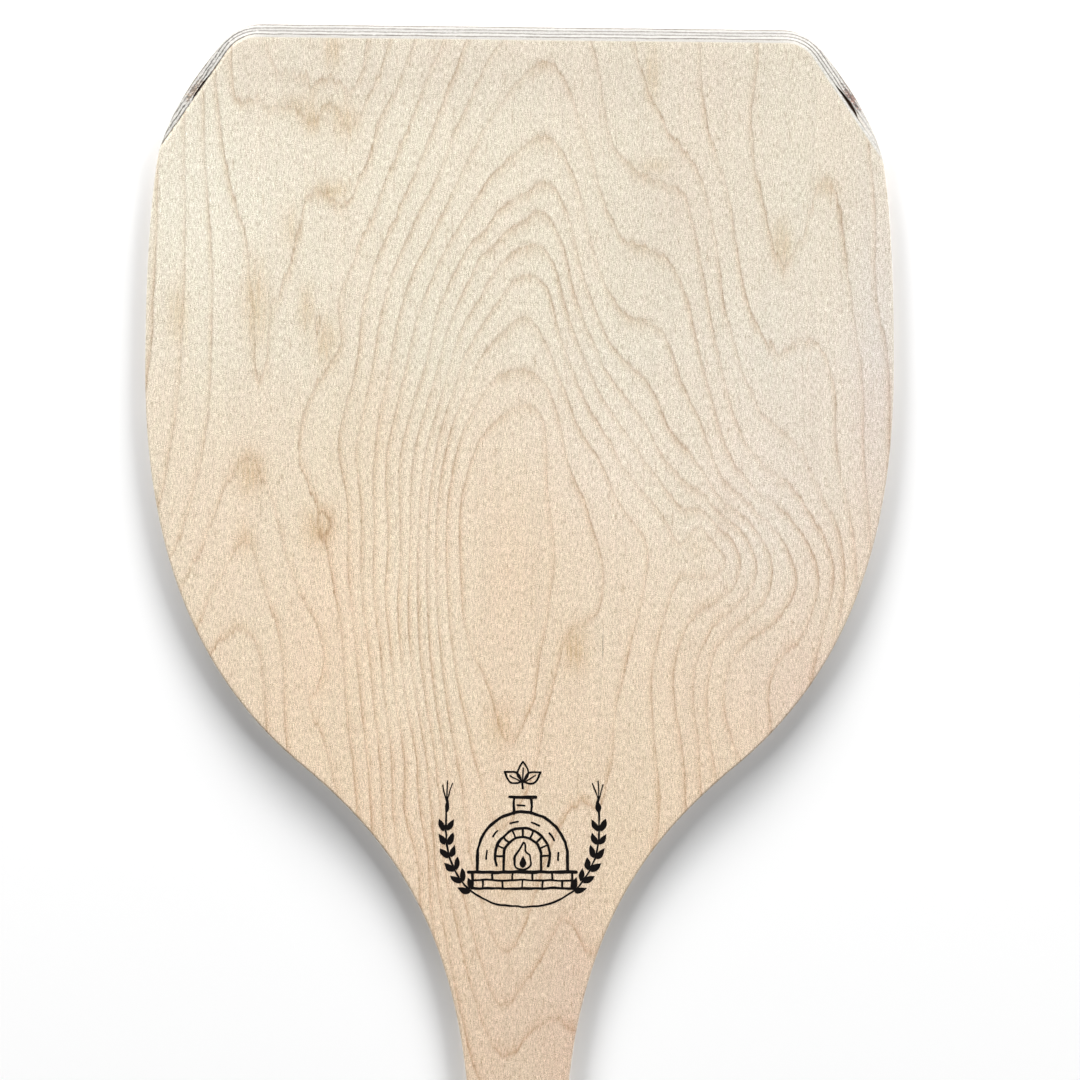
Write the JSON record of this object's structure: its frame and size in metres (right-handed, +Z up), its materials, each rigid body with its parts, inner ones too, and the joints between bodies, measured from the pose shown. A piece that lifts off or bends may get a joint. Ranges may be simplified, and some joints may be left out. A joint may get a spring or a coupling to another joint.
{
  "type": "pizza peel",
  "caption": "Flat plywood pizza peel with a bevelled loading edge, clipped front corners and a slim handle with a hanging hole.",
  "frame": {"origin": "on the underside, at the middle of the overall length and of the head's width; the peel lies flat, face up", "axes": "+Y along the handle towards the bevelled front edge, +X across the head, +Z up through the thickness"},
  "size_m": [0.3, 0.6, 0.0065],
  "materials": {
    "face_wood": "sanded bare rotary-cut birch, matt",
    "crossband_wood": "birch end grain along most edges, matt",
    "core_wood": "bare birch edge, matt",
    "back_wood": "sanded bare rotary-cut birch, matt",
    "glue": "dark phenolic glue line",
    "mark_ink": "matt black printed mark"
  },
  "bodies": {
    "root": {"face_veneer": "face_wood", "crossband_front_strip": "crossband_wood", "crossband_rear_strip": "crossband_wood", "core_veneer": "core_wood", "back_crossband": "crossband_wood", "back_veneer": "back_wood", "glue_film_1": "glue", "glue_film_2": "glue", "glue_film_3": "glue", "glue_film_4": "glue"}
  },
  "joints": []
}
